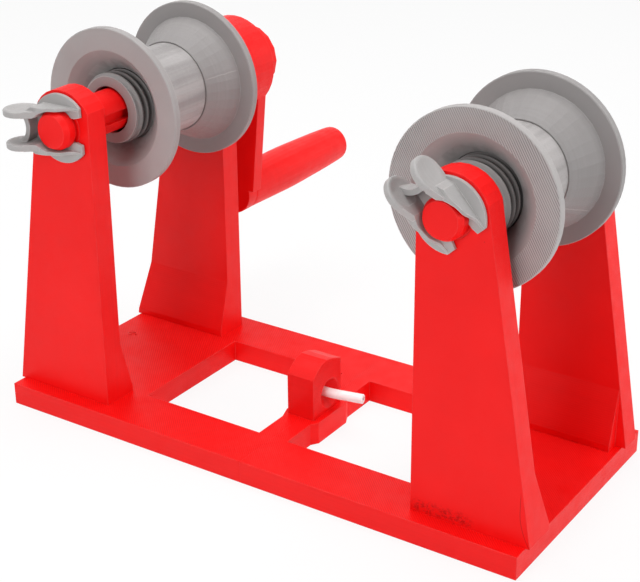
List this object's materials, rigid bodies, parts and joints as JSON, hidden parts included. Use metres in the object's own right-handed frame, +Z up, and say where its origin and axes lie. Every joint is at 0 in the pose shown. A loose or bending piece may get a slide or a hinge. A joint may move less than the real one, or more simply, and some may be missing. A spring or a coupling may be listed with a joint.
{
  "type": "filament spool winder",
  "caption": "Hand-cranked bench winder that moves printer filament from one spool to another, with clamping cones on slotted shafts, a filament guide and an open frame base.",
  "frame": {"origin": "middle of the flat underside of the base", "axes": "+X from the crank station to the idle station along the base, +Y from the clip side to the crank side, +Z up"},
  "size_m": [0.2838, 0.2399, 0.1882],
  "materials": {
    "red_print": "semi-gloss printed layers",
    "grey_print": "satin printed layers",
    "white_tube": "smooth, slightly translucent",
    "screw_steel": "plain"
  },
  "bodies": {
    "frame": {"base_left": "red_print", "base_right": "red_print", "base_key_front": "red_print", "base_key_back": "red_print", "upright_front_left": "red_print", "upright_back_left": "red_print", "upright_front_right": "red_print", "upright_back_right": "red_print", "guide_block": "red_print", "guide_tube": "white_tube", "screw_front_left_inner": "screw_steel", "screw_front_left_outer": "screw_steel", "screw_front_right_inner": "screw_steel", "screw_front_right_outer": "screw_steel", "screw_back_left_inner": "screw_steel", "screw_back_left_outer": "screw_steel", "screw_back_right_inner": "screw_steel", "screw_back_right_outer": "screw_steel"},
    "crank": {"crank_shaft": "red_print", "crank_arm": "red_print", "handle_axle": "red_print"},
    "grip": {"handle_grip": "red_print"},
    "left_back": {"left_back_cone": "grey_print"},
    "left_nut": {"left_nut_cone": "grey_print"},
    "left_snap": {"left_clip": "grey_print"},
    "idle": {"idle_shaft": "red_print", "idle_cap": "red_print"},
    "right_back": {"right_back_cone": "grey_print"},
    "right_nut": {"right_nut_cone": "grey_print"},
    "right_snap": {"right_clip": "grey_print"}
  },
  "joints": [
    {"name": "crank_spin", "type": "hinge", "parent": "frame", "child": "crank", "pos_m": [-0.10025, 0, 0.1496], "axis": [0, 1, 0], "continuous": true},
    {"name": "idle_spin", "type": "hinge", "parent": "frame", "child": "idle", "pos_m": [0.10025, 0, 0.1496], "axis": [0, 1, 0], "continuous": true},
    {"name": "grip_spin", "type": "hinge", "parent": "crank", "child": "grip", "pos_m": [-0.10025, 0.12, 0.0792], "axis": [0, 1, 0], "continuous": true},
    {"name": "left_cone_slide", "type": "slide", "parent": "crank", "child": "left_back", "axis": [0, 1, 0], "range_m": [-0.0098, 0.0003]},
    {"name": "left_nut_travel", "type": "slide", "parent": "left_back", "child": "left_nut", "axis": [0, -1, 0], "range_m": [0, 0.0112]},
    {"name": "right_cone_slide", "type": "slide", "parent": "idle", "child": "right_back", "axis": [0, 1, 0], "range_m": [-0.0003, 0.0185]},
    {"name": "right_nut_travel", "type": "slide", "parent": "right_back", "child": "right_nut", "axis": [0, -1, 0], "range_m": [0, 0.005]},
    {"name": "left_clip_turn", "type": "hinge", "parent": "crank", "child": "left_snap", "pos_m": [-0.10025, -0.056, 0.1496], "axis": [0, 1, 0], "continuous": true},
    {"name": "right_clip_turn", "type": "hinge", "parent": "idle", "child": "right_snap", "pos_m": [0.10025, -0.056, 0.1496], "axis": [0, 1, 0], "continuous": true}
  ]
}
